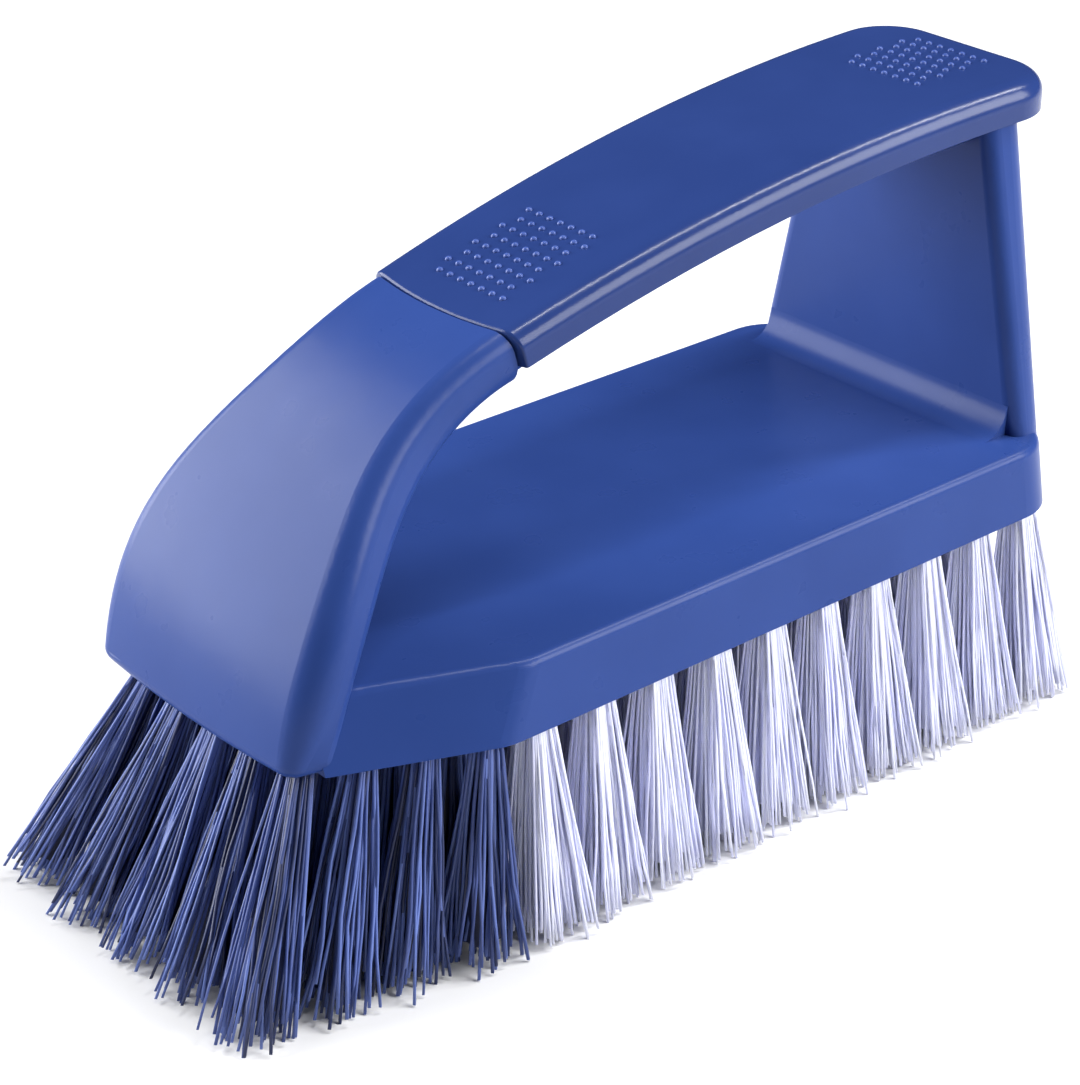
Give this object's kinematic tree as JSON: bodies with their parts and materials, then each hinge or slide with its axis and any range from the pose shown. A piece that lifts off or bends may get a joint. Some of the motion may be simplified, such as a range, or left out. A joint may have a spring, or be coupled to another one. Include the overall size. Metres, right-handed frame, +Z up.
{
  "type": "scrub brush",
  "caption": "Iron-style scrub brush: a tapered block with splayed stiff tufts under it, and an arched handle with a separate cap, open between nose and rear post.",
  "frame": {"origin": "on the plane of the bristle tips, under the middle of the block", "axes": "+Z up through the block to the handle; -X towards the nose; the part is mirror-symmetric in Y"},
  "size_m": [0.1751, 0.0762, 0.1022],
  "materials": {
    "body_plastic": "satin moulded",
    "cap_plastic": "satin moulded",
    "dark_filament": "extruded filament",
    "white_filament": "extruded filament",
    "anchor_steel": "flat wire"
  },
  "bodies": {
    "root": {"brush_body": "body_plastic", "dark_anchors_row_1": "anchor_steel", "dark_anchors_row_2": "anchor_steel", "dark_anchors_row_3": "anchor_steel", "dark_anchors_row_4": "anchor_steel", "dark_tufts_row_1": "dark_filament", "dark_tufts_row_2": "dark_filament", "dark_tufts_row_3": "dark_filament", "dark_tufts_row_4": "dark_filament", "handle_cap": "cap_plastic", "white_anchors_row_1": "anchor_steel", "white_anchors_row_2": "anchor_steel", "white_anchors_row_3": "anchor_steel", "white_anchors_row_4": "anchor_steel", "white_anchors_row_5": "anchor_steel", "white_anchors_row_6": "anchor_steel", "white_anchors_row_7": "anchor_steel", "white_tufts_row_1": "white_filament", "white_tufts_row_2": "white_filament", "white_tufts_row_3": "white_filament", "white_tufts_row_4": "white_filament", "white_tufts_row_5": "white_filament", "white_tufts_row_6": "white_filament", "white_tufts_row_7": "white_filament"}
  },
  "joints": []
}
